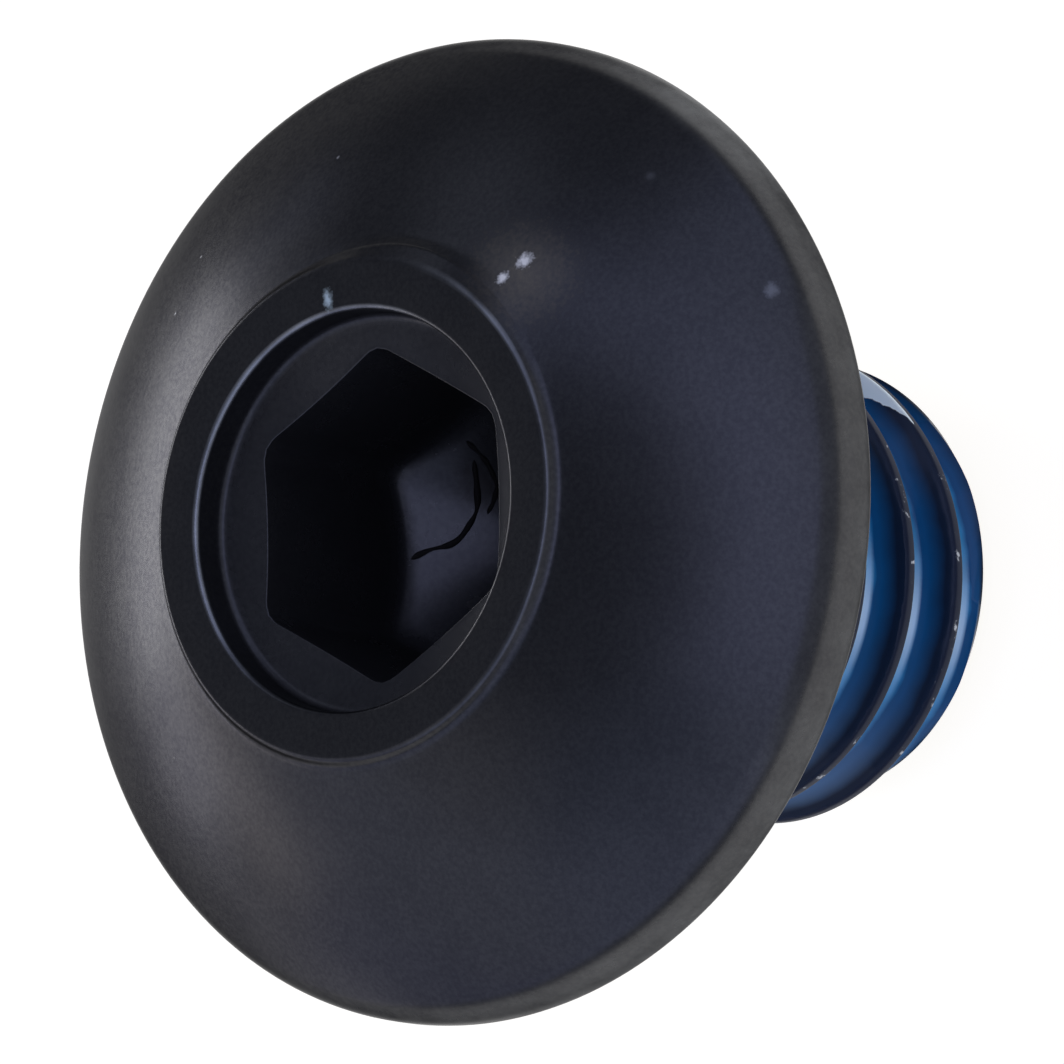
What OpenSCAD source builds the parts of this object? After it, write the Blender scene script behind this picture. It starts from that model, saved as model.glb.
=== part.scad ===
// Low button-head screw with a hexagon socket and a short metric thread.
// It stands on its tip: the tip face lies in the XY plane and +Z points out of the head.

/* [Thread] */
// Nominal thread diameter, which is also the diameter of the plain neck
thread_d = 5; // [4:0.5:8]
// Distance from one thread crest to the next
thread_pitch = 0.8; // [0.5:0.05:1]
// Taken off the crest diameter so that the thread turns freely in a nut
crest_allowance = 0.1; // [0.05:0.01:0.2]
// Length from the underside of the head to the tip
shank_len = 5.6; // [4:0.1:30]
// Length of the plain neck between the head and the thread
neck_len = 0.8; // [0.5:0.1:2]
// Radial depth of the chamfer round the tip
tip_chamfer = 0.55; // [0.2:0.05:0.8]

/* [Head] */
// Diameter of the head over its rim
head_d = 10; // [9:0.25:16]
// Height of the head from its underside to the flat ring on top
head_h = 2.2; // [1.8:0.05:4]
// Height of the straight wall round the rim
rim_h = 0.6; // [0.3:0.05:1]
// Rounding of the rim's lower edge
rim_round = 0.25; // [0.05:0.01:0.28]
// Rounding between the rim's wall and the dome
brow_round = 0.3; // [0.1:0.05:0.5]
// Fillet between the underside of the head and the neck
neck_fillet = 0.2; // [0.1:0.05:0.4]
// Outer diameter of the flat ring round the socket
ring_d = 5.1; // [4.6:0.1:6]
// How far the flat ring stands above the edge of the dome
ring_h = 0.1; // [0.05:0.01:0.2]

/* [Socket] */
// Key size: the hexagon across its flats
hex_af = 3; // [2:0.5:3]
// Diameter of the round mouth above the hexagon
mouth_d = 4.05; // [3.8:0.05:4.4]
// Depth of the mouth's floor at its wall
mouth_depth = 0.47; // [0.4:0.01:0.7]
// Fillet between the mouth's wall and its floor
mouth_fillet = 0.25; // [0.1:0.05:0.3]
// Bevel on the edge of the mouth
mouth_bevel = 0.06; // [0.02:0.01:0.1]
// Fall of the mouth's floor towards the hexagon, in degrees
mouth_fall = 8; // [2:1:20]
// Depth from the flat ring to the corners of the hexagon's floor
hex_depth = 2.4; // [1.5:0.05:2.6]
// Included angle of the cone at the bottom of the socket, in degrees
floor_angle = 100; // [90:5:150]

/* [Hidden] */

// Thread form: half flank angle, depth and crest width of a 60 degree metric thread
FLANK_HALF_ANGLE = 30;
DEPTH_PER_PITCH = 0.613;
CREST_PER_PITCH = 0.125;
// Flat facets in one turn of the thread
TURN_STEPS = 48;
// Pitches by which the uncut thread starts below the tip
RUN_OUT = 1.905;
// Share of the neck's length that the thread reaches up inside it
NECK_OVERLAP = 0.5;
// Flat bands in the mouth's fillet
FILLET_STEPS = 6;
// Overshoot that keeps a cutting shape clear of the face that it cuts
CUT = 0.5;
// Fineness of the round surfaces
$fn = 96;

neck_r = thread_d / 2;
crest_r = (thread_d - crest_allowance) / 2;
root_r = crest_r - DEPTH_PER_PITCH * thread_pitch;
flank_w = (crest_r - root_r) * tan(FLANK_HALF_ANGLE);
crest_w = CREST_PER_PITCH * thread_pitch;
neck_z = shank_len - neck_len;
thread_top = neck_z + NECK_OVERLAP * neck_len;
tip_flat_r = crest_r - tip_chamfer;

head_r = head_d / 2;
ring_r = ring_d / 2;
top_z = shank_len + head_h;
ring_foot = head_h - ring_h;
// Dome: a sphere through the upper edge of the rim and the foot of the flat ring
dome_c = (head_r ^ 2 + rim_h ^ 2 - ring_r ^ 2 - ring_foot ^ 2) / (2 * (rim_h - ring_foot));
dome_r = norm([head_r, rim_h - dome_c]);
// Centre of the rounding that touches the dome and the rim's wall from inside
brow = [head_r - brow_round, dome_c + sqrt((dome_r - brow_round) ^ 2 - (head_r - brow_round) ^ 2)];
// Angle at which that rounding runs into the dome
brow_turn = atan2(brow[1] - dome_c, brow[0]);

mouth_r = mouth_d / 2;
hex_r = hex_af / sqrt(3);
// Centre of the mouth's fillet, below the flat ring
fillet_c = [
    mouth_r - mouth_fillet,
    mouth_fillet / cos(mouth_fall) - mouth_depth - mouth_fillet * tan(mouth_fall)
];
floor_fall = tan(90 - floor_angle / 2);
socket_depth = hex_depth + hex_r * floor_fall;

// Thread: four points per pitch, root end, crest start, crest end and root start,
// wound upwards from its run-out below the tip
profile = [[root_r, 0], [crest_r, flank_w], [crest_r, flank_w + crest_w], [root_r, 2 * flank_w + crest_w]];
wind_z = -RUN_OUT * thread_pitch;
turns = ceil((thread_top - wind_z) / thread_pitch) + 1;
full_steps = TURN_STEPS * (turns - 1);
all_steps = TURN_STEPS * turns;

function wound(k, m) =
    let (a = 360 * m / TURN_STEPS, rise = thread_pitch * m / TURN_STEPS)
    [profile[k][0] * cos(a), profile[k][0] * sin(a), wind_z + rise + profile[k][1]];

// Place of a point in the list: the lower root line is a turn longer than the other three
function at(k, m) =
    k == 4 ? m + TURN_STEPS
    : k == 0 ? m
    : all_steps + 1 + (k - 1) * (full_steps + 1) + m;

// Threaded rod, longer than the thread at both ends, closed by a fan at its foot and its head
module wound_rod() {
    rows = [0:3];
    turned = [0:full_steps - 1];
    foot = all_steps + 1 + 3 * (full_steps + 1);
    crown = foot + 1;
    points = concat(
        [for (m = [0:all_steps]) wound(0, m)],
        [for (k = [1:3], m = [0:full_steps]) wound(k, m)],
        [[0, 0, wind_z - thread_pitch], [0, 0, wind_z + thread_pitch * (turns + 1)]]
    );
    faces = concat(
        [for (k = rows, m = turned) [at(k, m), at(k + 1, m), at(k + 1, m + 1)]],
        [for (k = rows, m = turned) [at(k, m), at(k + 1, m + 1), at(k, m + 1)]],
        [for (m = [0:TURN_STEPS - 1]) [at(0, m), at(0, m + 1), foot]],
        [for (k = rows) [foot, at(k + 1, 0), at(k, 0)]],
        [for (m = [full_steps:all_steps - 1]) [at(0, m + 1), at(0, m), crown]],
        [for (k = rows) [crown, at(k, full_steps), at(k + 1, full_steps)]]
    );
    polyhedron(points, faces);
}

// Length of the thread with its chamfered tip, wider than the crests along its side
module thread_blank() {
    side_r = crest_r + CUT;
    rotate_extrude()
        polygon([
            [0, 0],
            [tip_flat_r, 0],
            [side_r, side_r - tip_flat_r],
            [side_r, thread_top],
            [0, thread_top]
        ]);
}

module thread() {
    intersection() {
        wound_rod();
        thread_blank();
    }
}

// What a rounding takes off an edge: a wedge from the rounding's centre, less its circle
module edge_cut(centre, radius, from, to) {
    reach = 3 * radius;
    translate(centre)
        difference() {
            polygon([[0, 0], for (a = [from, (from + to) / 2, to]) reach * [cos(a), sin(a)]]);
            circle(radius);
        }
}

// Half section of the head, with its underside on the X axis
module head_section() {
    difference() {
        union() {
            intersection() {
                translate([0, dome_c]) circle(dome_r);
                square([head_r, head_h]);
            }
            square([ring_r, head_h]);
        }
        edge_cut([head_r - rim_round, rim_round], rim_round, -90, 0);
        edge_cut(brow, brow_round, 0, brow_turn);
    }
}

// Half section of the neck and its fillet, running up into the head
module neck_section() {
    fillet_x = neck_r + neck_fillet;
    difference() {
        translate([0, -neck_len]) square([fillet_x, neck_len + rim_h]);
        translate([fillet_x, -neck_fillet]) circle(neck_fillet);
        translate([neck_r, -neck_len - CUT]) square([neck_fillet + CUT, neck_len - neck_fillet + CUT]);
    }
}

// Round mouth of the socket, cut down from the flat ring
module mouth() {
    translate([0, 0, top_z])
        rotate_extrude()
            polygon([
                [0, CUT],
                [mouth_r + mouth_bevel + CUT, CUT],
                [mouth_r, -mouth_bevel],
                for (k = [0:FILLET_STEPS])
                    let (a = (mouth_fall - 90) * k / FILLET_STEPS)
                    fillet_c + mouth_fillet * [cos(a), sin(a)],
                [0, -mouth_depth - mouth_r * tan(mouth_fall)]
            ]);
}

// Hexagon with a cone at its bottom
module hexagon() {
    reach_r = hex_r + CUT;
    translate([0, 0, top_z])
        intersection() {
            translate([0, 0, -socket_depth - CUT]) cylinder(r = hex_r, h = socket_depth + CUT, $fn = 6);
            rotate_extrude()
                polygon([
                    [0, CUT],
                    [reach_r, CUT],
                    [reach_r, -hex_depth + CUT * floor_fall],
                    [0, -socket_depth]
                ]);
        }
}

module head() {
    translate([0, 0, shank_len])
        rotate_extrude()
            union() {
                head_section();
                neck_section();
            }
}

// The socket's point reaches down into the thread, so it is cut from both
module screw() {
    color("#2a2c31")
        difference() {
            union() {
                head();
                thread();
            }
            mouth();
            hexagon();
        }
}

screw();
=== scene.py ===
"""Button-head socket screw: black oxide steel with a blue locking film on its thread.

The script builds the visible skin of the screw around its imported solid, dresses it with procedural
finishes and sets up the studio. Lengths in the classes are millimetres and angles are degrees; Blender
gets metres and radians.
"""

import logging
import math
from dataclasses import dataclass
from enum import Enum
from typing import Any

import bmesh
import bpy
import numpy as np
from mathutils import Matrix, Vector


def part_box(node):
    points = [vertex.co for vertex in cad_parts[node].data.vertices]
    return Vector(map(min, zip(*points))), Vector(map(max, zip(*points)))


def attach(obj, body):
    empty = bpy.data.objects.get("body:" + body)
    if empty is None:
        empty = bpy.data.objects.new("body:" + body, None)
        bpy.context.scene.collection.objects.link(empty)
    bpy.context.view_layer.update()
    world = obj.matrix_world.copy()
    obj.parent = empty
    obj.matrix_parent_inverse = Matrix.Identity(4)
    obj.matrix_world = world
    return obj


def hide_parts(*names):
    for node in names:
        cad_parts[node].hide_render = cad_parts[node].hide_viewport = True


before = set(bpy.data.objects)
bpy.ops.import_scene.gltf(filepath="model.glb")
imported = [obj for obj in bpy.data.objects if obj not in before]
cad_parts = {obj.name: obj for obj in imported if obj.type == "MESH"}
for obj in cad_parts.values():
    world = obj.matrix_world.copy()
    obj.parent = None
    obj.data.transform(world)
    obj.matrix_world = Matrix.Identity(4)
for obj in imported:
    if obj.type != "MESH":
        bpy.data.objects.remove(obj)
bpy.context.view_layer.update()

LOG = logging.getLogger("screw")
NODE = "screw"
BODY = "root"
MM = 0.001
# Points round each ring: a multiple of 12, so that each corner and each flat of the hexagon gets one.
COLUMNS = 216
TURN = np.radians(np.arange(COLUMNS) * 360 / COLUMNS)
# Points nearer than this are one point, in millimetres.
WELD = 0.0004
SEED = 7

Pair = tuple[float, float]


class Finish(Enum):
    """The finishes of the screw, numbered as its material slots."""

    OXIDE = 0
    FILM = 1
    GRIME = 2


class Mark(Enum):
    """Kinds of small marks on the oxide, each with the colour that it shows."""

    WORN = "#f6f4ee"
    TAN = "#b3a890"
    NICK = "#bcced2"
    # A dark stain colour, also used as painted shade in the socket.
    SPECK = "#a3a6aa"
    STAIN_AND_SHADE = "#3a2e28"
    SMUT = "#08080a"


@dataclass(frozen=True)
class Corner:
    """One corner of a turned outline.

    Args:
        r: distance from the axis.
        z: height.
        rounding: radius of the rounding on the corner.
        wear: how far the finish is rubbed off there, from 0 to 1.
    """

    r: float
    z: float
    rounding: float = 0.0
    wear: float = 0.0


@dataclass(frozen=True)
class MarkPlace:
    """One small mark on the head.

    Args:
        kind: what the mark is.
        r: distance from the axis.
        angle: angle round the axis from +X.
        z: height.
        length: size along the radius.
        width: size round the axis.
        strength: how far it hides the oxide, from 0 to 1.
        softness: share of its size over which it fades out.
    """

    kind: Mark
    r: float
    angle: float
    z: float
    length: float
    width: float
    strength: float
    softness: float = 0.55


def linear(code: str) -> tuple[float, float, float, float]:
    """Turns an sRGB hex colour to linear light.

    Args:
        code: the colour as "#rrggbb".

    Returns:
        Red, green, blue and alpha for a shader socket.
    """
    parts = [int(code[i:i + 2], 16) / 255 for i in (1, 3, 5)]
    light = [p / 12.92 if p <= 0.04045 else ((p + 0.055) / 1.055) ** 2.4 for p in parts]
    return (*light, 1.0)


def add_node(tree: bpy.types.NodeTree, kind: str, inputs: dict[Any, Any] | None = None,
             output: int | str = 0, **settings: Any) -> bpy.types.NodeSocket:
    """Adds one shader node with its settings, constants and links.

    Args:
        tree: the node tree that gets it.
        kind: Blender's type name of the node, without its common start.
        inputs: for each input, by name or number, a socket to link or a constant.
        output: the output to hand back, by name or number.
        settings: the node's own properties.

    Returns:
        That output of the node.
    """
    node = tree.nodes.new("ShaderNode" + kind)
    for name, value in settings.items():
        setattr(node, name, value)
    for socket, value in (inputs or {}).items():
        if isinstance(value, bpy.types.NodeSocket):
            tree.links.new(value, node.inputs[socket])
        else:
            node.inputs[socket].default_value = value
    return node.outputs[output]


def unit(vector: np.ndarray) -> np.ndarray:
    """Returns the vector at length 1."""
    return vector / np.linalg.norm(vector)


def smooth(share: np.ndarray) -> np.ndarray:
    """Returns an even 0 to 1 ramp of a share, level at both ends."""
    share = np.clip(share, 0.0, 1.0)
    return share * share * (3 - 2 * share)


def apart(angle: float) -> np.ndarray:
    """Returns the angle of each column from a given one, from -180 to 180 degrees."""
    return (np.degrees(TURN)[None, :] - angle + 180) % 360 - 180


def arc(centre: Pair, radius: float, start: float, end: float, steps: int,
        wear: Pair = (0.0, 0.0)) -> list[tuple[float, float, float]]:
    """Follows a round stretch of a turned outline.

    Args:
        centre: distance from the axis and height of the arc's centre.
        radius: radius of the arc.
        start: angle of its first point, from the outward direction.
        end: angle of its last point.
        steps: number of points.
        wear: how far the finish is rubbed off at its first and its last point, from 0 to 1.

    Returns:
        Rows of radius, height and wear.
    """
    turns = np.radians(np.linspace(start, end, steps))
    rubbed = np.linspace(*wear, steps)
    r = centre[0] + radius * np.cos(turns)
    z = centre[1] + radius * np.sin(turns)
    return list(zip(r, z, rubbed))


def rounded(corners: list[Corner], steps: int) -> list[tuple[float, float, float]]:
    """Rounds the inner corners of an open outline.

    Args:
        corners: the outline's corners in order; the first and the last only give directions.
        steps: points along each rounding.

    Returns:
        Rows of radius, height and wear.
    """
    rows = []
    for before, here, after in zip(corners, corners[1:], corners[2:]):
        middle = np.array((here.r, here.z))
        back = unit(np.array((before.r, before.z)) - middle)
        ahead = unit(np.array((after.r, after.z)) - middle)
        half = math.acos(float(np.clip(back @ ahead, -1, 1))) / 2
        centre = middle + unit(back + ahead) * here.rounding / math.sin(half)
        reach = here.rounding / math.tan(half)
        start = middle + back * reach - centre
        end = middle + ahead * reach - centre
        sweep = math.pi - 2 * half
        for share in np.linspace(0, 1, steps):
            spoke = (math.sin((1 - share) * sweep) * start + math.sin(share * sweep) * end) / math.sin(sweep)
            rows.append((*(centre + spoke), here.wear * math.sin(math.pi * share)))
    return rows


def ring_points(r: np.ndarray, z: np.ndarray) -> np.ndarray:
    """Places points round the axis.

    Args:
        r: radius of each point, with one column for each angle in TURN or one in all.
        z: height of each point, likewise.

    Returns:
        The points, shaped rows by columns by 3.
    """
    r, z = np.broadcast_arrays(r, z, subok=False)
    r, z = (np.broadcast_to(a, (a.shape[0], COLUMNS)) for a in (r, z))
    return np.stack((r * np.cos(TURN), r * np.sin(TURN), z), axis=2)


class Skin:
    """Collects the points and faces of one mesh, with what each point and face carries."""

    def __init__(self) -> None:
        """Starts an empty skin."""
        self.points: list[np.ndarray] = []
        self.faces: list[np.ndarray] = []
        self.finishes: list[np.ndarray] = []
        names = ("wear", "polish", "dust", "film", "bare", "scuff")
        self.carried: dict[str, list[np.ndarray]] = {name: [] for name in names}
        self.count = 0

    def add(self, grid: np.ndarray, finish: Finish, shift: int = 0, **carried: np.ndarray) -> None:
        """Adds a grid of points that closes on itself round its columns.

        Args:
            grid: points, shaped rows by columns by 3.
            finish: the finish of its faces.
            shift: rows that the grid climbs in one turn, for a helix.
            carried: values for each point, shaped rows by columns, by name.
        """
        rows, columns = grid.shape[:2]
        number = self.count + np.arange(rows * columns).reshape(rows, columns)
        after = np.roll(number, -1, axis=1)
        after[:, -1] = np.concatenate((number[shift:, 0], number[rows - 1:, 0].repeat(shift)))
        quads = np.stack((number[:-1], number[1:], after[1:], after[:-1]), axis=2).reshape(-1, 4)
        self.points.append(grid.reshape(-1, 3))
        self.faces.append(quads)
        self.finishes.append(np.full(len(quads), finish.value))
        for name, values in self.carried.items():
            given = carried.get(name, np.zeros((1, 1)))
            values.append(np.broadcast_to(given, (rows, columns)).reshape(-1))
        self.count += rows * columns

    def to_object(self, name: str, materials: list[bpy.types.Material], sharp: float) -> bpy.types.Object:
        """Makes the welded Blender object.

        Args:
            name: the object's name.
            materials: its materials, in the order of Finish.
            sharp: edges that turn more than this are drawn sharp, in degrees.

        Returns:
            The object, linked to the scene, in metres.
        """
        mesh = bpy.data.meshes.new(name)
        mesh.from_pydata(np.concatenate(self.points), [], np.concatenate(self.faces).tolist())
        for material in materials:
            mesh.materials.append(material)
        mesh.polygons.foreach_set("material_index", np.concatenate(self.finishes))
        for key, values in self.carried.items():
            layer = mesh.attributes.new(key, "FLOAT", "POINT")
            layer.data.foreach_set("value", np.concatenate(values).astype(np.float32))
        shell = bmesh.new()
        shell.from_mesh(mesh)
        bmesh.ops.remove_doubles(shell, verts=shell.verts, dist=WELD)
        bmesh.ops.dissolve_degenerate(shell, edges=shell.edges, dist=WELD)
        bmesh.ops.recalc_face_normals(shell, faces=shell.faces)
        bmesh.ops.scale(shell, verts=shell.verts, vec=(MM, MM, MM))
        shell.to_mesh(mesh)
        shell.free()
        mesh.shade_smooth()
        mesh.set_sharp_from_angle(angle=math.radians(sharp))
        piece = bpy.data.objects.new(name, mesh)
        bpy.context.scene.collection.objects.link(piece)
        return piece


@dataclass
class Head:
    """The button head, from the neck up to the floor of the socket's mouth.

    Args:
        radius: outer radius of the rim.
        bearing_z: height of the bearing face under the head.
        top_z: height of the flat ring round the socket.
        neck_r: radius of the plain neck.
        neck_z: height where this skin takes over from the thread's.
    """

    radius: float
    bearing_z: float
    top_z: float
    neck_r: float
    neck_z: float
    rim_h: float = 0.6
    foot_round: float = 0.25
    brow_round: float = 0.55
    neck_fillet: float = 0.2
    ring_r: float = 2.55
    ring_h: float = 0.1
    ring_lean: float = 0.03
    ring_round: float = 0.07
    ring_fillet: float = 0.15
    mouth_r: float = 2.025
    mouth_depth: float = 0.38
    mouth_round: float = 0.06
    mouth_fillet: float = 0.1
    mouth_fall: float = 13.0
    dome_steps: int = 36
    # Stretches where the rim is lighter: angle, spread and strength of each. They are partly rubbed oxide
    # and partly a painted reflection, on the two sides where the rim's wall meets the light at a grazing
    # angle.
    rubs_and_sheen: tuple[tuple[float, float, float], ...] = ((-174.0, 45.0, 0.5), (-37.5, 17.0, 1.4))
    rub_least: float = 0.3
    # Wear at both ends of the foot's and the brow's rounding, and on the edges of the ring and the mouth.
    # The foot's is partly a painted reflection that lightens the rim's lower edge.
    foot_wear: Pair = (0.9, 0.35)
    brow_wear: Pair = (0.25, 0.0)
    ring_wear: float = 0.8
    mouth_wear: float = 1.0
    # The mouth's edge is lighter on one side, partly rubbed by the key and partly a painted highlight where
    # the edge catches the light: the middle of that side, and how its lightening falls off.
    key_angle: float = 55.0
    key_least: float = 0.2
    key_swing: float = 0.9
    # The ring's edge is rubbed hard over a short stretch. Over about half its length, on the side towards
    # the camera, it is faintly lighter: partly rubbing, partly a painted highlight.
    ring_rub_angle: float = -47.0
    ring_rub_spread: float = 17.0
    ring_faint_angle: float = -92.0
    ring_faint_rub_and_sheen: float = 0.4
    ring_faint_swing: float = 0.8
    # Width of the band round the mouth's edge that has the key's wear and painted highlight.
    key_band: float = 0.2
    # Dust in the mouth, and the width over which it ends at the mouth's edge.
    mouth_dust: float = 0.8
    dust_fade: float = 0.04
    # Tumbling burnishes the dome towards its rim, from this radius outwards.
    burnish_r: float = 4.65
    # The forging left the ring's step wider and softer over this stretch.
    soft_angle: float = -19.5
    soft_spread: float = 26.0
    soft_reach: float = 0.12
    soft_fade: float = 0.3
    soft_drop: float = 0.2
    # Depth of the slight unevenness of the dome, and the waves that make it.
    unevenness: float = 0.0005
    waves: int = 14
    wave_lengths: Pair = (0.7, 2.6)
    # The unevenness stays this far from the rim and the ring, and fades in over these widths.
    dome_margin: float = 0.1
    rim_fade: float = 0.4
    ring_fade: float = 0.3

    @property
    def rim_z(self) -> float:
        """Height where the dome would meet the rim's wall without its rounding."""
        return self.bearing_z + self.rim_h

    @property
    def ring_foot_z(self) -> float:
        """Height of the dome where the ring's step starts."""
        return self.top_z - self.ring_h

    @property
    def dome_centre_z(self) -> float:
        """Height of the centre of the sphere through the rim's edge and the ring's foot."""
        rise = self.ring_foot_z - self.rim_z
        return (self.ring_r**2 + self.ring_foot_z**2 - self.radius**2 - self.rim_z**2) / (2 * rise)

    @property
    def dome_radius(self) -> float:
        """Radius of the dome's sphere."""
        return math.hypot(self.radius, self.rim_z - self.dome_centre_z)

    @property
    def shelf_r(self) -> float:
        """Distance from the axis where the mouth's fillet runs into its floor."""
        return self.mouth_r - self.mouth_fillet * (1 - math.sin(math.radians(self.mouth_fall)))

    def shelf_z(self, r: np.ndarray) -> np.ndarray:
        """Height of the mouth's floor at a distance from the axis."""
        return self.top_z - self.mouth_depth - (self.mouth_r - r) * math.tan(math.radians(self.mouth_fall))

    def outline(self) -> np.ndarray:
        """Returns rows of radius, height and wear, from the neck to the mouth's floor."""
        neck = (self.neck_r + self.neck_fillet, self.bearing_z - self.neck_fillet)
        foot = (self.radius - self.foot_round, self.bearing_z + self.foot_round)
        dome = (0.0, self.dome_centre_z)
        inner = self.dome_radius - self.brow_round
        brow_r = self.radius - self.brow_round
        brow = (brow_r, self.dome_centre_z + math.sqrt(inner**2 - brow_r**2))
        brow_turn = math.degrees(math.acos(brow_r / inner))
        step_r = self.ring_r + self.ring_lean
        step_z = self.dome_centre_z + math.sqrt(self.dome_radius**2 - step_r**2)
        step_turn = math.degrees(math.acos(step_r / self.dome_radius))
        shelf_c = (self.mouth_r - self.mouth_fillet, self.shelf_z(self.shelf_r)
                   + self.mouth_fillet * math.cos(math.radians(self.mouth_fall)))
        dome_rows = arc(dome, self.dome_radius, brow_turn, step_turn, self.dome_steps)[1:-1]
        step = [
            Corner(*dome_rows[-1][:2]),
            Corner(step_r, step_z, self.ring_fillet),
            Corner(self.ring_r - self.ring_lean, self.top_z, self.ring_round, self.ring_wear),
            Corner(self.mouth_r, self.top_z, self.mouth_round, self.mouth_wear),
            Corner(self.mouth_r, self.top_z - self.mouth_depth),
        ]
        return np.array([
            (self.neck_r, self.neck_z, 0.0),
            *arc(neck, self.neck_fillet, 180, 90, 6),
            *arc(foot, self.foot_round, -90, 0, 9, self.foot_wear),
            *arc(brow, self.brow_round, 0, brow_turn, 12, self.brow_wear),
            *dome_rows[:-1],
            *rounded(step, steps=7),
            *arc(shelf_c, self.mouth_fillet, 0, self.mouth_fall - 90, 8),
        ])

    def build(self, skin: Skin) -> None:
        """Adds the head to the skin.

        Args:
            skin: the skin that gets it.
        """
        r, z, wear = (column[:, None] for column in self.outline().T)
        soft = np.exp(-(apart(self.soft_angle) / self.soft_spread) ** 2)
        on_step = smooth(1 - np.abs(r - self.ring_r) / self.soft_fade)
        on_step = on_step * (z > self.ring_foot_z - self.soft_drop)
        r_shaped = r + soft * on_step * self.soft_reach * np.clip((self.top_z - z) / self.ring_h, 0, 1)
        off_rim = smooth((self.radius - self.dome_margin - r) / self.rim_fade)
        off_ring = smooth((r - self.ring_r - self.dome_margin) / self.ring_fade)
        z_shaped = z + off_rim * off_ring * (z > self.rim_z) * self.dome_waves(r)
        # The rim, the ring's edge and the mouth's edge are made lighter: partly wear, partly painted
        # highlight and painted reflection on the sides where light catches them.
        rim_rub_and_sheen = self.rub_least + sum(s * np.exp(-(apart(a) / w) ** 2) for a, w, s in self.rubs_and_sheen)
        key_rub_and_sheen = smooth(self.key_least + self.key_swing * np.cos(np.radians(apart(self.key_angle))))
        hard = np.exp(-(apart(self.ring_rub_angle) / self.ring_rub_spread) ** 2)
        faint_rub_and_sheen = smooth(self.ring_faint_swing * np.cos(np.radians(apart(self.ring_faint_angle))))
        ring_rub_and_sheen = np.maximum(hard, self.ring_faint_rub_and_sheen * faint_rub_and_sheen)
        on_top = np.where(r < self.mouth_r + self.key_band, key_rub_and_sheen, ring_rub_and_sheen)
        rubbed = np.where(r > self.radius - 2 * self.brow_round, rim_rub_and_sheen, on_top)
        polish = smooth((r - self.burnish_r) / (self.radius - self.burnish_r))
        dust = self.mouth_dust * smooth((self.mouth_r + self.dust_fade / 2 - r) / self.dust_fade)
        points = ring_points(r_shaped, z_shaped)
        skin.add(points, Finish.OXIDE, wear=wear * rubbed, polish=polish, dust=dust)

    def dome_waves(self, r: np.ndarray) -> np.ndarray:
        """Works out the slight unevenness that forging and tumbling leave on the dome.

        Args:
            r: distance of each row from the axis.

        Returns:
            Height differences, shaped rows by columns.
        """
        draw = np.random.default_rng(SEED)
        total = np.zeros((len(r), COLUMNS))
        for _ in range(self.waves):
            heading = draw.uniform(0, 2 * math.pi)
            length = draw.uniform(*self.wave_lengths)
            phase = draw.uniform(0, 2 * math.pi)
            across = r * np.cos(TURN - heading)
            total += np.sin(2 * math.pi * across / length + phase) * length / self.wave_lengths[1]
        return total * self.unevenness / math.sqrt(self.waves)


@dataclass
class Socket:
    """The hexagon socket, from the mouth's floor down to the drill point.

    Args:
        head: the head that it sits in.
        across_flats: key size.
        hex_depth: depth of the flats at the corners, below the ring.
    """

    head: Head
    across_flats: float = 3.0
    hex_depth: float = 2.4
    floor_fall: float = 40.0
    lip_round: float = 0.02
    corner_round: float = 0.04
    corner_spread: float = 2.4
    foot_round: float = 0.05
    # Share of the foot's rounding by which its middle lies off the flats and the floor.
    foot_cut: float = 0.3
    # Dust on the flats and the floor.
    dust: float = 0.55

    @property
    def corner_r(self) -> float:
        """Distance of the hexagon's corners from the axis."""
        return self.across_flats / 2 / math.cos(math.radians(30))

    def hexagon(self) -> np.ndarray:
        """Returns the hexagon's radius at each column, with slightly rounded corners."""
        flat = (np.degrees(TURN) + 30) % 60 - 30
        r = self.across_flats / 2 / np.cos(np.radians(30 - np.abs(flat)))
        return r - self.corner_round * np.exp(-(flat / self.corner_spread) ** 2)

    def floor_z(self, r: np.ndarray) -> np.ndarray:
        """Height of the conical floor at a distance from the axis."""
        fall = math.tan(math.radians(self.floor_fall))
        return self.head.top_z - self.hex_depth - (self.corner_r - r) * fall

    def build(self, skin: Skin) -> None:
        """Adds the socket to the skin.

        Args:
            skin: the skin that gets it.
        """
        flats = self.hexagon()
        lip_r = flats + self.lip_round
        lip_z = self.head.shelf_z(lip_r)
        foot_z = self.floor_z(flats)
        rows = []
        for share in np.linspace(0, 1, 7):
            r = (1 - share) * self.head.shelf_r + share * lip_r
            rows.append((r, self.head.shelf_z(r)))
        for turn in np.radians(np.linspace(15, 90, 6)):
            drop = self.lip_round * (1 - math.cos(turn))
            rows.append((lip_r - self.lip_round * math.sin(turn), lip_z - drop))
        for share in np.linspace(0.1, 1, 10):
            rows.append((flats, (1 - share) * (lip_z - self.lip_round) + share * (foot_z + self.foot_round)))
        rows.append((flats - self.foot_round * self.foot_cut, foot_z + self.foot_round * self.foot_cut))
        for share in np.linspace(0.04, 1, 14):
            r = (1 - share) * flats
            rows.append((r, self.floor_z(r)))
        r, z = (np.array(column) for column in zip(*rows))
        skin.add(ring_points(r, z), Finish.OXIDE, polish=np.ones((1, 1)), dust=np.full((1, 1), self.dust))


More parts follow.
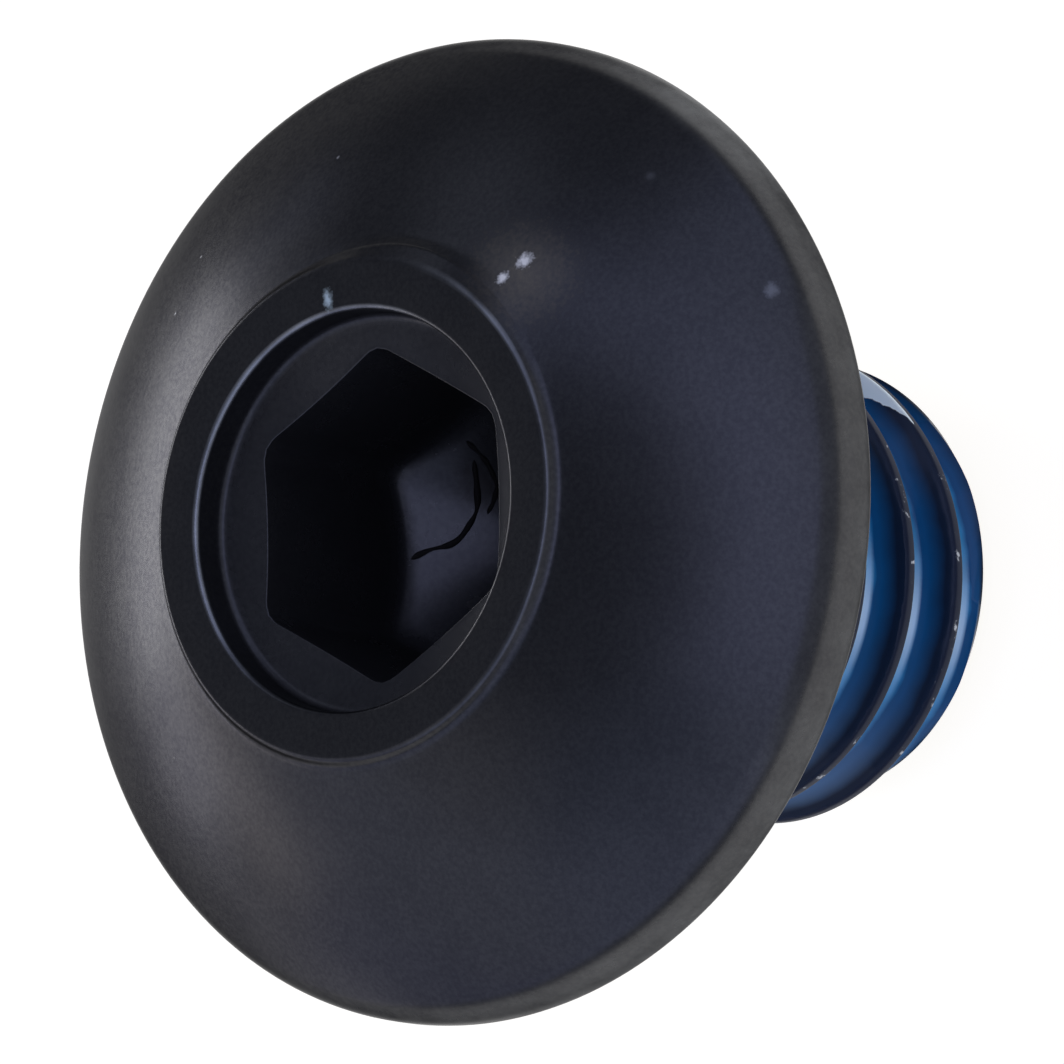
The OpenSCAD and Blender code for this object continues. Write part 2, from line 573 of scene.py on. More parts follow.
@dataclass
class Thread:
    """The rolled thread with its chamfered tip, run-out and locking film.

    Args:
        crest_r: radius of the crests.
        neck_r: radius of the plain neck.
        neck_z: height where the plain neck starts.
        join_z: height where the head's skin takes over.
    """

    crest_r: float
    neck_r: float
    neck_z: float
    join_z: float
    pitch: float = 0.8
    crest_w: float = 0.1
    crest_round: float = 0.03
    flank_angle: float = 30.0
    tip_r: float = 1.9
    run_out: float = 0.25
    # Height of a crest's middle at +X.
    wind_z: float = -1.191
    # Radius of the film's hollow surface where it has pooled between two crests.
    film_round: float = 0.2
    # Depth below the crests at which the film is at its full thickness.
    film_depth: float = 0.36
    # The film is chipped off the flank next to one crest: the angles between which it narrows to nothing,
    # its width along the axis and the height of that crest at +X.
    chip_ends: Pair = (-59.0, -16.0)
    chip_tapers: Pair = (24.0, 8.0)
    chip_w: float = 0.18
    chip_z: float = 1.209
    # Widths over which the chip ends towards the groove and towards the crest, and its gap to the crest.
    chip_fade: float = 0.06
    chip_crest_fade: float = 0.03
    chip_gap: float = 0.01
    # Two pale streaks of painted sheen on the film: a faint painted reflection round one side and a strong
    # painted highlight in the groove on the near side. Angle, spread, depth in the groove where each starts,
    # from 0 to 1, and strength.
    scuffs: tuple[tuple[float, float, float, float], ...] = (
        (-172.0, 34.0, 0.35, 0.2),
        (-108.0, 15.0, 0.84, 1.0),
    )
    scuff_fade: float = 0.12
    # Width over which the film ends at the tip's chamfer.
    tip_fade: float = 0.1

    def half_profile(self) -> np.ndarray:
        """Returns rows of distance from the groove's middle and radius, from the groove to a crest."""
        slope = 1 / math.tan(math.radians(self.flank_angle))
        half = self.pitch / 2
        crest_foot = half - self.crest_w / 2
        groove_point_r = self.crest_r - crest_foot * slope
        rows = []
        for turn in np.radians(np.linspace(0, 90 - self.flank_angle, 6)):
            rows.append((self.film_round * math.sin(turn),
                         groove_point_r + self.film_round * (2 - math.cos(turn))))
        pool_edge = rows[-1][0]
        for share in (0.25, 0.5, 0.75):
            across = pool_edge + share * (crest_foot - pool_edge)
            rows.append((across, groove_point_r + slope * across))
        crest = rounded([
            Corner(groove_point_r + slope * (crest_foot * 0.8), crest_foot * 0.8),
            Corner(self.crest_r, crest_foot, self.crest_round),
            Corner(self.crest_r, half),
        ], steps=4)
        rows += [(across, r) for r, across, _ in crest]
        rows.append((half, self.crest_r))
        return np.array(rows)

    def build(self, skin: Skin) -> None:
        """Adds the thread and the tip's face to the skin.

        Args:
            skin: the skin that gets it.
        """
        half = self.half_profile()
        up = np.column_stack((half[:, 0] - self.pitch / 2, half[:, 1]))
        down = np.column_stack((self.pitch / 2 - half[::-1, 0], half[::-1, 1]))[1:-1]
        one = np.concatenate((up, down))
        turns = math.ceil(self.join_z / self.pitch) + 3
        across = np.concatenate([one[:, 0] + n * self.pitch for n in range(turns)])
        start = self.wind_z - math.ceil(1 + self.wind_z / self.pitch) * self.pitch
        z = start + across[:, None] + self.pitch * TURN[None, :] / (2 * math.pi)
        r = np.tile(one[:, 1], turns)[:, None] + np.zeros(COLUMNS)
        fade = smooth((z - self.neck_z + self.run_out) / self.run_out)
        cone_r = self.tip_r + np.clip(z, 0, None)
        film = np.clip((self.crest_r - r) / self.film_depth, 0, 1) * (1 - fade)
        film = film * smooth((cone_r - r) / self.tip_fade + 1)
        r = np.minimum(r + fade * (self.neck_r - r), cone_r)
        z = np.clip(z, 0, self.join_z)
        # Pale painted sheen over the film: a painted reflection and a painted highlight.
        scuff = np.zeros_like(film)
        for angle, spread, depth, strength in self.scuffs:
            near = np.exp(-(apart(angle) / spread) ** 2)
            scuff += strength * near * smooth((film - depth) / self.scuff_fade)
        skin.add(ring_points(r, z), Finish.FILM, shift=len(one), film=film, bare=self.chip(z), scuff=scuff)
        tip = np.linspace(self.tip_r, 0, 6)[:, None]
        skin.add(ring_points(tip, np.zeros((1, 1))), Finish.FILM)

    def chip(self, z: np.ndarray) -> np.ndarray:
        """Works out how far the film is chipped off.

        Args:
            z: height of each point, shaped rows by columns.

        Returns:
            Shares from 0 to 1, likewise shaped.
        """
        turn = apart(0.0)
        above = z - self.chip_z - self.pitch * turn / 360
        (low, high), (low_taper, high_taper) = self.chip_ends, self.chip_tapers
        reach = self.chip_w * np.clip((turn - low) / low_taper, 0, 1) * smooth((high - turn) / high_taper)
        below_edge = smooth(0.5 + (reach - above) / self.chip_fade)
        off_crest = smooth((above - self.chip_gap) / self.chip_crest_fade)
        return below_edge * off_crest * (reach > self.chip_gap)


@dataclass
class SocketLint:
    """A strand of lint stuck to the socket's floor.

    Args:
        socket: the socket that it lies in.
        route: distance from the axis and angle of each point that it passes.
        thickness: its diameter.
    """

    socket: Socket
    route: tuple[Pair, ...]
    thickness: float
    sides: int = 8
    steps: int = 8
    # How sharply its ends taper, how lumpy it is, and the two beats of its lumps along its length.
    taper: float = 14.0
    lumpiness: float = 0.4
    lump_beats: Pair = (23.0, 7.0)
    # How far its middle lies above the floor, as a share of its half thickness.
    lift: float = 0.5

    def build(self, skin: Skin) -> None:
        """Adds the strand to the skin.

        Args:
            skin: the skin that gets it.
        """
        away, turn = np.array(self.route).T
        stops = away[:, None] * np.column_stack((np.cos(np.radians(turn)), np.sin(np.radians(turn))))
        ends = np.vstack((2 * stops[0] - stops[1], stops, 2 * stops[-1] - stops[-2]))
        path = []
        for p0, p1, p2, p3 in zip(ends, ends[1:], ends[2:], ends[3:]):
            for t in np.linspace(0, 1, self.steps, endpoint=False):
                path.append(0.5 * (2 * p1 + (p2 - p0) * t + (2 * p0 - 5 * p1 + 4 * p2 - p3) * t**2
                                   + (3 * p1 - p0 - 3 * p2 + p3) * t**3))
        line = np.array(path)
        along = np.gradient(line, axis=0)
        side = np.column_stack((-along[:, 1], along[:, 0])) / np.linalg.norm(along, axis=1)[:, None]
        share = np.linspace(0, 1, len(line))
        half = self.thickness / 2 * np.clip(np.minimum(share, 1 - share) * self.taper, 0, 1) ** 0.5
        half *= 1 + self.lumpiness * np.sin(share * self.lump_beats[0]) * np.sin(share * self.lump_beats[1])
        turn = np.linspace(0, 2 * math.pi, self.sides, endpoint=False)
        flat = line[:, None, :] + side[:, None, :] * (half[:, None] * np.cos(turn))[:, :, None]
        floor = self.socket.floor_z(np.linalg.norm(line, axis=1))[:, None]
        z = floor + half[:, None] * (self.lift + np.sin(turn))
        skin.add(np.dstack((flat, z)), Finish.GRIME)


@dataclass(frozen=True)
class BlackOxide:
    """Black oxide on forged steel: a thin magnetite conversion coat, tumbled and sealed with oil.

    The eye sees a satin blue-black metal that stays dark face on and turns grey where a low light rakes
    across it, with a fine grain from the tumbling and thinner, greyer oxide on the worn edges. That greyer
    oxide is partly painted highlight and painted reflection, laid where the edges catch the light.
    """

    deep: str = "#3f3f41"
    pale: str = "#484849"
    # Grey of rubbed oxide; where the rubbing lies on the lit sides it is also a painted highlight.
    worn: str = "#a5a8aa"
    # The oxide swallows part of what bare metal mirrors at a grazing angle.
    graze: str = "#a0a0a0"
    roughness: float = 0.32
    burnished: float = 0.27
    # Share of the light that rubbed edges and the dusty socket scatter instead of mirroring it.
    dullness: float = 0.5
    # Patches of thinner oxide, and the tumbling's grain, which is drawn coarser than its real 0.02 mm.
    patch_mm: float = 0.55
    grain_mm: float = 0.05
    grain_depth_mm: float = 0.0005
    # Ranges of the noises that show, the patches' share of the tone and the tone's range.
    patch_range: Pair = (0.3, 0.7)
    fleck_range: Pair = (0.32, 0.68)
    patch_share: float = 0.5
    tone_range: Pair = (0.25, 1.25)
    # Wear left where a patch is at its least, how the patches change the roughness, and how marks fray.
    wear_least: float = 0.35
    rough_swing: float = 0.04
    fray: float = 0.9
    mark_edge: float = 1.15
    marks: tuple[MarkPlace, ...] = (
        MarkPlace(Mark.TAN, 2.98, -43.0, 7.52, 0.85, 0.95, 0.3, 1.0),
        MarkPlace(Mark.WORN, 2.83, -40.6, 7.59, 0.13, 0.10, 1.0),
        MarkPlace(Mark.WORN, 3.08, -41.4, 7.48, 0.16, 0.13, 1.0),
        MarkPlace(Mark.NICK, 2.18, 6.6, 7.80, 0.19, 0.11, 1.0),
        MarkPlace(Mark.SPECK, 4.72, -66.9, 6.45, 0.12, 0.16, 0.3),
        MarkPlace(Mark.SPECK, 4.37, -44.2, 6.72, 0.10, 0.10, 0.15),
        MarkPlace(Mark.SPECK, 3.83, 10.3, 7.08, 0.035, 0.035, 0.6),
        MarkPlace(Mark.SPECK, 3.71, 49.2, 7.15, 0.03, 0.03, 0.6),
        MarkPlace(Mark.SPECK, 3.96, 40.7, 7.00, 0.03, 0.03, 0.5),
        MarkPlace(Mark.SMUT, 3.55, 127.1, 7.24, 0.03, 0.03, 0.9),
        # A stain on the socket's floor, drawn wide enough to darken that floor: partly a stain, partly
        # painted shade in the socket.
        MarkPlace(Mark.STAIN_AND_SHADE, 1.00, 46.0, 4.79, 0.55, 0.45, 0.4, 0.9),
    )

    def material(self) -> bpy.types.Material:
        """Returns the finish as a Blender material."""
        made = bpy.data.materials.new("black_oxide_steel_oiled")
        made.use_nodes = True
        tree = made.node_tree
        shader = tree.nodes["Principled BSDF"]
        spot = add_node(tree, "TexCoord", output="Object")
        place = add_node(tree, "VectorMath", {0: spot, "Scale": 1 / MM}, operation="SCALE")
        patch = add_node(tree, "TexNoise", {"Vector": place, "Scale": 1 / self.patch_mm, "Detail": 5.0,
                                            "Roughness": 0.62})
        grain = add_node(tree, "TexNoise", {"Vector": place, "Scale": 1 / self.grain_mm, "Detail": 2.0,
                                            "Roughness": 0.6})
        patchy = add_node(tree, "MapRange", {"Value": patch, 1: self.patch_range[0], 2: self.patch_range[1]})
        flecks = add_node(tree, "MapRange", {"Value": grain, 1: self.fleck_range[0], 2: self.fleck_range[1]})
        speckled = add_node(tree, "Math", {0: patchy, 1: self.patch_share, 2: flecks},
                            operation="MULTIPLY_ADD")
        tone = add_node(tree, "MapRange", {"Value": speckled, 1: self.tone_range[0], 2: self.tone_range[1]})
        colour = add_node(tree, "Mix", {0: tone, 6: linear(self.deep), 7: linear(self.pale)},
                          data_type="RGBA", output=2)
        # Rubbed edges turn greyer; on the sides where light catches them this is partly painted highlight
        # and painted reflection.
        wear = add_node(tree, "Attribute", attribute_name="wear", output="Fac")
        uneven = add_node(tree, "MapRange", {"Value": patch, 1: self.patch_range[0], 2: self.patch_range[1],
                                            3: self.wear_least, 4: 1.0})
        rubbed = add_node(tree, "Math", {0: wear, 1: uneven}, operation="MULTIPLY")
        colour = add_node(tree, "Mix", {0: rubbed, 6: colour, 7: linear(self.worn)}, data_type="RGBA",
                          output=2)
        chalk = add_node(tree, "Value")
        for mark in self.marks:
            share = self.mark_share(tree, place, grain, mark)
            colour = add_node(tree, "Mix", {0: share, 6: colour, 7: linear(mark.kind.value)},
                              data_type="RGBA", output=2)
            chalk = add_node(tree, "Math", {0: chalk, 1: share}, operation="MAXIMUM")
        dust = add_node(tree, "Attribute", attribute_name="dust", output="Fac")
        dull = add_node(tree, "Math", {0: rubbed, 1: dust}, operation="MAXIMUM")
        dull = add_node(tree, "Math", {0: dull, 1: self.dullness}, operation="MULTIPLY")
        chalk = add_node(tree, "Math", {0: chalk, 1: dull}, operation="MAXIMUM")
        metal = add_node(tree, "Math", {0: 1.0, 1: chalk}, operation="SUBTRACT")
        polish = add_node(tree, "Attribute", attribute_name="polish", output="Fac")
        smoothed = add_node(tree, "MapRange", {"Value": polish, 3: self.roughness, 4: self.burnished})
        rough = add_node(tree, "Math", {0: patch, 1: self.rough_swing, 2: smoothed},
                         operation="MULTIPLY_ADD")
        rough = add_node(tree, "Math", {0: rough, 1: self.rough_swing / 2}, operation="SUBTRACT")
        height = add_node(tree, "Math", {0: grain, 1: self.grain_depth_mm * MM}, operation="MULTIPLY")
        bump = add_node(tree, "Bump", {"Height": height, "Strength": 1.0, "Distance": 1.0})
        shader.inputs["Specular Tint"].default_value = linear(self.graze)
        made_from = {"Base Color": colour, "Metallic": metal, "Roughness": rough, "Normal": bump}
        for socket, value in made_from.items():
            tree.links.new(value, shader.inputs[socket])
        return made

    def mark_share(self, tree: bpy.types.NodeTree, place: bpy.types.NodeSocket, grain: bpy.types.NodeSocket,
                   mark: MarkPlace) -> bpy.types.NodeSocket:
        """Works out where one mark covers the oxide.

        Args:
            tree: the finish's node tree.
            place: the point being shaded, in millimetres.
            grain: fine noise that frays the mark's edge.
            mark: the mark.

        Returns:
            The mark's share of the colour.
        """
        turn = math.radians(mark.angle)
        middle = (mark.r * math.cos(turn), mark.r * math.sin(turn), mark.z)
        scale = (1 / mark.length, 1 / mark.width, 1 / max(mark.length, mark.width))
        local = add_node(tree, "VectorMath", {0: place, 1: middle}, operation="SUBTRACT")
        turned = add_node(tree, "VectorRotate", {"Vector": local, "Angle": -turn}, rotation_type="Z_AXIS")
        shaped = add_node(tree, "VectorMath", {0: turned, 1: scale}, operation="MULTIPLY")
        far = add_node(tree, "VectorMath", {0: shaped}, operation="LENGTH", output="Value")
        frayed = add_node(tree, "Math", {0: grain, 1: self.fray, 2: far}, operation="MULTIPLY_ADD")
        fade = {"Value": frayed, 1: self.mark_edge, 2: self.mark_edge - mark.softness, 4: mark.strength}
        return add_node(tree, "MapRange", fade)


@dataclass(frozen=True)
class LockingFilm:
    """A cured blue thread-locking film on black oxide: a glossy acrylate that pooled in the grooves.

    The eye sees a deep glossy blue, brighter where the film has pooled thickly, dark where it thins
    over the flanks, and rubbed through to greyish oxide along the crests. The bright pooled blue is partly
    a painted highlight, and the dark blue next to the crests is partly painted shade.
    """

    # Dark blue where the film thins near the crests; partly painted shade.
    thin_and_shade: str = "#0a1d34"
    middle: str = "#0a5080"
    # Light blue where the film has pooled in the grooves; partly a painted highlight.
    thick_and_highlight: str = "#3aa6dc"
    # Pale blue of the painted sheen.
    painted_sheen_tone: str = "#c4e0f8"
    crest: str = "#0c1830"
    nicked: str = "#dfe4e8"
    # Steel where the film is chipped off; its near-white tone is a painted reflection of the white
    # surroundings.
    bare: str = "#e4f0f2"
    film_roughness: float = 0.16
    steel_roughness: float = 0.5
    ior: float = 1.5
    # The film is scratched all over, which more than halves what its surface mirrors.
    specular: float = 0.2
    # Film depths, from 0 to about 1.3, over which it covers the steel, turns blue and turns bright.
    # The bright pool is partly a painted highlight.
    cover_range: Pair = (0.09, 0.17)
    flank_range: Pair = (0.42, 0.85)
    pool_and_highlight_range: Pair = (0.98, 1.18)
    # Noise over which the crests are nicked and the chip's edge is torn.
    nick_range: Pair = (0.64, 0.72)
    tear_range: Pair = (0.72, 0.80)
    # How far the noises shift the film's edge, its depth and the chip's edge.
    edge_share: float = 0.16
    run_share: float = 0.3
    tear_share: float = 0.5
    # Runs in the film, the ragged edge where it has rubbed off and the grain of the steel below it.
    run_mm: float = 0.5
    edge_mm: float = 0.16
    grain_mm: float = 0.05
    run_depth_mm: float = 0.012
    film_depth_mm: float = 0.004
    grain_depth_mm: float = 0.0012

    def material(self) -> bpy.types.Material:
        """Returns the finish as a Blender material."""
        made = bpy.data.materials.new("blue_locking_film_on_steel")
        made.use_nodes = True
        tree = made.node_tree
        shader = tree.nodes["Principled BSDF"]
        spot = add_node(tree, "TexCoord", output="Object")
        place = add_node(tree, "VectorMath", {0: spot, "Scale": 1 / MM}, operation="SCALE")
        runs = add_node(tree, "TexNoise", {"Vector": place, "Scale": 1 / self.run_mm, "Detail": 2.0})
        edge = add_node(tree, "TexNoise", {"Vector": place, "Scale": 1 / self.edge_mm, "Detail": 4.0,
                                           "Roughness": 0.6})
        grain = add_node(tree, "TexNoise", {"Vector": place, "Scale": 1 / self.grain_mm, "Detail": 2.0})
        film = add_node(tree, "Attribute", attribute_name="film", output="Fac")
        chipped = add_node(tree, "Attribute", attribute_name="bare", output="Fac")
        ragged = add_node(tree, "Math", {0: edge, 1: self.edge_share, 2: film}, operation="MULTIPLY_ADD")
        cover = add_node(tree, "MapRange", {"Value": ragged, 1: self.cover_range[0], 2: self.cover_range[1]})
        # The blue brightens from the crests into the grooves: partly film depth, partly painted shade near
        # the crests and a painted highlight in the pooled film.
        uneven = add_node(tree, "Math", {0: runs, 1: self.run_share, 2: film}, operation="MULTIPLY_ADD")
        flank = add_node(tree, "MapRange", {"Value": uneven, 1: self.flank_range[0], 2: self.flank_range[1]})
        pool_and_highlight = add_node(tree, "MapRange", {"Value": uneven, 1: self.pool_and_highlight_range[0], 2: self.pool_and_highlight_range[1]})
        # The pale streaks mixed in here are painted sheen.
        scuff = add_node(tree, "Attribute", attribute_name="scuff", output="Fac")
        blue = linear(self.thin_and_shade)
        for share, tone in ((flank, self.middle), (pool_and_highlight, self.thick_and_highlight), (scuff, self.painted_sheen_tone)):
            blue = add_node(tree, "Mix", {0: share, 6: blue, 7: linear(tone)}, data_type="RGBA", output=2)
        # Where the film is chipped the steel shows; its near-white tone there is a painted reflection.
        torn = add_node(tree, "Math", {0: edge, 1: self.tear_share, 2: chipped}, operation="MULTIPLY_ADD")
        bare = add_node(tree, "MapRange", {"Value": torn, 1: self.tear_range[0], 2: self.tear_range[1]})
        left = add_node(tree, "Math", {0: 1.0, 1: bare}, operation="SUBTRACT")
        cover = add_node(tree, "Math", {0: cover, 1: left}, operation="MULTIPLY")
        nicks = add_node(tree, "MapRange", {"Value": edge, 1: self.nick_range[0], 2: self.nick_range[1]})
        steel = linear(self.crest)
        for share, tone in ((nicks, self.nicked), (bare, self.bare)):
            steel = add_node(tree, "Mix", {0: share, 6: steel, 7: linear(tone)}, data_type="RGBA", output=2)
        colour = add_node(tree, "Mix", {0: cover, 6: steel, 7: blue}, data_type="RGBA", output=2)
        rough = add_node(tree, "MapRange", {"Value": cover, 3: self.steel_roughness, 4: self.film_roughness})
        wavy = add_node(tree, "Math", {0: runs, 1: self.run_depth_mm * MM}, operation="MULTIPLY")
        flow = add_node(tree, "Math", {0: cover, 1: self.film_depth_mm * MM, 2: wavy},
                        operation="MULTIPLY_ADD")
        open_steel = add_node(tree, "Math", {0: 1.0, 1: cover}, operation="SUBTRACT")
        gritty = add_node(tree, "Math", {0: open_steel, 1: grain}, operation="MULTIPLY")
        height = add_node(tree, "Math", {0: gritty, 1: self.grain_depth_mm * MM, 2: flow},
                          operation="MULTIPLY_ADD")
        bump = add_node(tree, "Bump", {"Height": height, "Strength": 1.0, "Distance": 1.0})
        shader.inputs["IOR"].default_value = self.ior
        shader.inputs["Specular IOR Level"].default_value = self.specular
        for socket, value in {"Base Color": colour, "Roughness": rough, "Normal": bump}.items():
            tree.links.new(value, shader.inputs[socket])
        return made


@dataclass(frozen=True)
class OilyLint:
    """Oily cotton lint: a dull dark brown strand that takes hardly any light."""

    dark: str = "#0b0908"
    light: str = "#1a1512"
    roughness: float = 0.85
    tuft_mm: float = 0.08

    def material(self) -> bpy.types.Material:
        """Returns the finish as a Blender material."""
        made = bpy.data.materials.new("oily_cotton_lint")
        made.use_nodes = True
        tree = made.node_tree
        shader = tree.nodes["Principled BSDF"]
        spot = add_node(tree, "TexCoord", output="Object")
        tuft = add_node(tree, "TexNoise", {"Vector": spot, "Scale": 1 / (self.tuft_mm * MM)})
        shades = {0: tuft, 6: linear(self.dark), 7: linear(self.light)}
        colour = add_node(tree, "Mix", shades, data_type="RGBA", output=2)
        shader.inputs["Roughness"].default_value = self.roughness
        tree.links.new(colour, shader.inputs["Base Color"])
        return made


@dataclass
class Screw:
    """The whole screw: its head, socket, thread and the lint in its socket, as one skin.

    Args:
        radius: radius of the head.
        top_z: height of the screw.
        shank_len: length under the head.
        neck_r: radius of the plain neck.
        neck_len: length of the plain neck.
        crest_r: radius of the thread's crests.
    """

    radius: float
    top_z: float
    shank_len: float = 5.6
    neck_r: float = 2.5
    neck_len: float = 0.8
    crest_r: float = 2.45
    # The thread's skin reaches this far up the neck.
    neck_join: float = 0.6
    sharp: float = 50.0
    # Strands of lint: distance from the axis and angle of each point, and thickness.
    strands: tuple[tuple[tuple[Pair, ...], float], ...] = (
        (((1.42, 91.5), (1.27, 87.4), (1.08, 83.3), (0.98, 71.9), (0.97, 59.0), (1.07, 46.2), (1.20, 37.0)),
         0.058),
        (((1.33, 33.0), (1.18, 33.5), (1.06, 35.5), (0.92, 42.0), (0.87, 52.0), (0.88, 64.0)), 0.045),
    )

    def build(self) -> bpy.types.Object:
        """Returns the dressed screw."""
        neck_z = self.shank_len - self.neck_len
        join_z = neck_z + self.neck_join
        skin = Skin()
        head = Head(self.radius, self.shank_len, self.top_z, self.neck_r, join_z)
        socket = Socket(head)
        thread = Thread(self.crest_r, self.neck_r, neck_z, join_z)
        lint = [SocketLint(socket, route, thickness) for route, thickness in self.strands]
        for part in (head, socket, thread, *lint):
            part.build(skin)
            LOG.info("%s added, %d points so far", type(part).__name__, skin.count)
        materials = [BlackOxide().material(), LockingFilm().material(), OilyLint().material()]
        piece = skin.to_object("screw_skin", materials, self.sharp)
        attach(piece, BODY)
        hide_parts(NODE)
        return piece


@dataclass(frozen=True)
class SoftBox:
    """A soft light with an even face, aimed at the screw.

    Args:
        name: the light's name.
        azimuth: direction to its middle, round the screw.
        span: how far it reaches round the screw.
        elevation: height of its middle above the horizon.
        height: how far it reaches upwards.
        radiance: brightness of its face, where white paper in full light is 1.
        colour: its colour.
        panels: number of flat panels that make up its curve round the screw.
    """

    name: str
    azimuth: float
    span: float
    elevation: float
    height: float
    radiance: float
    colour: str
    panels: int = 1
    distance: float = 90.0

    def place(self, target: Vector) -> None:
        """Adds the light to the scene.

        Args:
            target: the point that it is aimed at, in millimetres.
        """
        rise = math.radians(self.elevation)
        part = self.span / self.panels
        for panel in range(self.panels):
            turn = math.radians(self.azimuth + (panel + 0.5) * part - self.span / 2)
            away = Vector((math.cos(rise) * math.cos(turn), math.cos(rise) * math.sin(turn), math.sin(rise)))
            half_width = math.asin(math.cos(rise) * math.sin(math.radians(part) / 2))
            lamp = bpy.data.lights.new(self.name, "AREA")
            lamp.shape = "RECTANGLE"
            lamp.size = 2 * self.distance * MM * math.tan(half_width)
            lamp.size_y = 2 * self.distance * MM * math.tan(math.radians(self.height) / 2)
            lamp.energy = self.radiance * math.pi * lamp.size * lamp.size_y
            lamp.color = linear(self.colour)[:3]
            box = bpy.data.objects.new(self.name, lamp)
            box.location = (target + away * self.distance) * MM
            box.rotation_euler = away.to_track_quat("Z", "Y").to_euler()
            bpy.context.scene.collection.objects.link(box)


@dataclass(frozen=True)
class OpalFloor:
    """A sheet of pale grey opal acrylic lit from below: an even white almost without shadows.

    Args:
        half: half of the sheet's side.
    """

    half: float = 400.0
    white: str = "#8c8c8e"
    roughness: float = 0.6
    glow: float = 0.93
    glow_colour: str = "#fffdf8"

    def place(self) -> None:
        """Adds the floor to the scene."""
        made = bpy.data.materials.new("opal_acrylic")
        made.use_nodes = True
        shader = made.node_tree.nodes["Principled BSDF"]
        shader.inputs["Base Color"].default_value = linear(self.white)
        shader.inputs["Roughness"].default_value = self.roughness
        shader.inputs["Emission Color"].default_value = linear(self.glow_colour)
        shader.inputs["Emission Strength"].default_value = self.glow
        mesh = bpy.data.meshes.new("floor")
        reach = self.half * MM
        corners = [(-reach, -reach, 0), (reach, -reach, 0), (reach, reach, 0), (-reach, reach, 0)]
        mesh.from_pydata(corners, [], [(0, 1, 2, 3)])
        mesh.materials.append(made)
        floor = bpy.data.objects.new("floor", mesh)
        bpy.context.scene.collection.objects.link(floor)


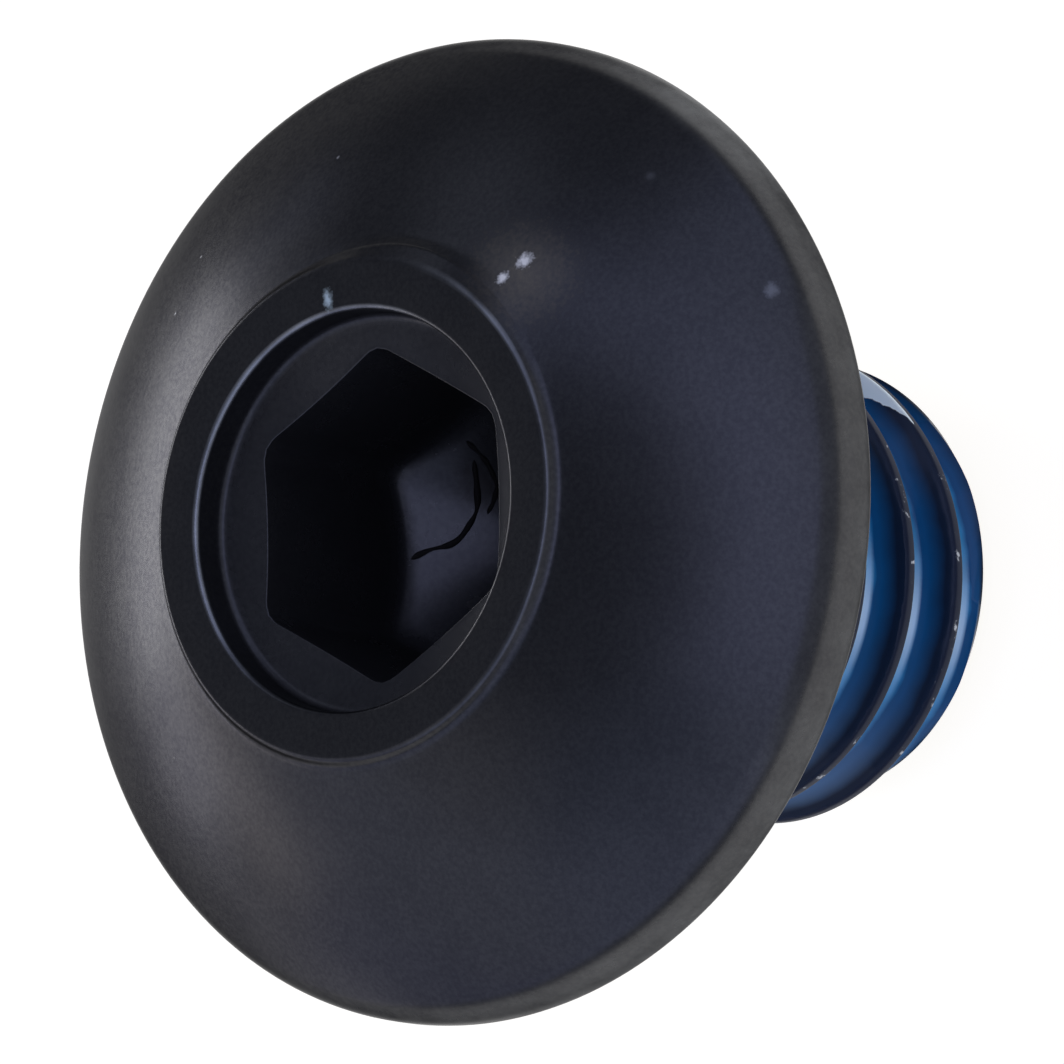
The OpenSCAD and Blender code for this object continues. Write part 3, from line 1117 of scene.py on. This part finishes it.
@dataclass(frozen=True)
class Studio:
    """The floor, the soft lights and the camera.

    Args:
        rim_z: height of the rim's upper edge, which the view was measured at.
    """

    rim_z: float
    # The camera's side of the screw, the tilt of the screw's axis to the line of sight and its roll.
    side: float = -104.5
    tilt: float = 39.91
    roll: float = 10.18
    distance: float = 150.0
    lens: float = 504.2
    sensor: float = 36.0
    # The middle of the picture lies this far right of and below the rim's centre.
    right_of_rim: float = 0.803
    below_rim: float = 0.04
    ambient: float = 0.171
    ambient_colour: str = "#dbe3ff"

    def lights(self) -> list[SoftBox]:
        """Returns the soft lights."""
        behind = self.side + 180
        return [
            SoftBox("back_strip", behind, 30.0, 6.5, 13.0, 12.4, "#fdfcff"),
            SoftBox("back_turn", behind + 22.5, 15.0, 6.5, 13.0, 4.6, "#f5f3ff"),
            SoftBox("back_turn_cap", behind + 30.0, 30.0, 17.0, 8.0, 2.46, "#fff6f2"),
            SoftBox("back_side", behind + 45.0, 30.0, 3.0, 6.0, 2.0, "#f4f2ff"),
            SoftBox("back_near", behind - 22.5, 15.0, 9.5, 7.0, 1.45, "#dde4ff"),
            SoftBox("back_high", behind, 60.0, 55.0, 18.0, 0.12, "#e3eaff", panels=2),
            SoftBox("back_far", behind - 52.5, 15.0, 33.5, 25.0, 0.44, "#e3eaff"),
            SoftBox("side_low", behind + 67.5, 45.0, 13.5, 15.0, 0.6, "#cad0ff", panels=3),
            SoftBox("side_box", behind + 60.0, 60.0, 33.5, 25.0, 0.61, "#e0e5ff", panels=4),
            SoftBox("side_high", behind + 60.0, 60.0, 55.0, 18.0, 0.33, "#fbf8ff", panels=2),
            SoftBox("front_side", behind + 120.0, 60.0, 28.0, 32.0, 0.69, "#cbd5ff", panels=2),
            SoftBox("front_side_high", behind + 120.0, 60.0, 52.0, 16.0, 0.31, "#bcceff", panels=2),
            SoftBox("front_fill", behind + 190.0, 100.0, 21.0, 38.0, 0.36, "#e2e8ff", panels=3),
            SoftBox("window", behind + 195.0, 90.0, 50.0, 20.0, 1.26, "#c8d0ff", panels=3),
            SoftBox("far_high", behind + 270.0, 60.0, 52.0, 16.0, 0.85, "#c7d0ff", panels=2),
            SoftBox("far_side", behind + 255.0, 30.0, 28.0, 32.0, 0.69, "#c8d2ff"),
        ]

    def camera_axes(self) -> tuple[np.ndarray, np.ndarray, np.ndarray]:
        """Returns the picture's right, down and forward directions in the screw's frame."""
        side, tilt, roll = (math.radians(a) for a in (self.side, self.tilt, self.roll))
        near = np.array((math.cos(side), math.sin(side), 0))
        across = np.array((math.sin(side), -math.cos(side), 0))
        tipward = np.array((0, 0, -1.0))
        rolled = np.array((math.cos(roll), math.sin(roll), 0))
        depth = np.array((0, 0, 1.0))
        axes = np.outer(math.cos(tilt) * rolled - math.sin(tilt) * depth, near)
        axes += np.outer((-math.sin(roll), math.cos(roll), 0), across)
        axes += np.outer(math.sin(tilt) * rolled + math.cos(tilt) * depth, tipward)
        return axes[0], axes[1], axes[2]

    def place_camera(self) -> None:
        """Adds the camera and makes it the scene's."""
        right, down, forward = self.camera_axes()
        aim = np.array((0, 0, self.rim_z)) + self.right_of_rim * right + self.below_rim * down
        eye = (aim - self.distance * forward) * MM
        data = bpy.data.cameras.new("camera")
        data.lens = self.lens
        data.sensor_width = self.sensor
        data.clip_start = self.distance * MM / 10
        camera = bpy.data.objects.new("camera", data)
        turned = Matrix((right, -down, -forward)).transposed().to_4x4()
        camera.matrix_world = Matrix.Translation(eye) @ turned
        bpy.context.scene.collection.objects.link(camera)
        bpy.context.scene.camera = camera

    def place(self) -> None:
        """Adds the whole studio to the scene."""
        OpalFloor().place()
        for box in self.lights():
            box.place(Vector((0, 0, self.rim_z)))
        world = bpy.data.worlds.new("studio")
        world.use_nodes = True
        back = world.node_tree.nodes["Background"]
        back.inputs["Color"].default_value = linear(self.ambient_colour)
        back.inputs["Strength"].default_value = self.ambient
        scene = bpy.context.scene
        scene.world = world
        scene.view_settings.view_transform = "Standard"
        self.place_camera()


def main() -> None:
    """Builds the screw and the studio."""
    logging.basicConfig(level=logging.INFO, format="%(name)s: %(message)s")
    low, high = (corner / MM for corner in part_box(NODE))
    screw = Screw(radius=min(high.x, high.y, -low.x, -low.y), top_z=high.z)
    piece = screw.build()
    LOG.info("%s has %d faces", piece.name, len(piece.data.polygons))
    Studio(rim_z=screw.shank_len + Head.rim_h).place()
    LOG.info("studio ready")


if __name__ == "__main__":
    main()
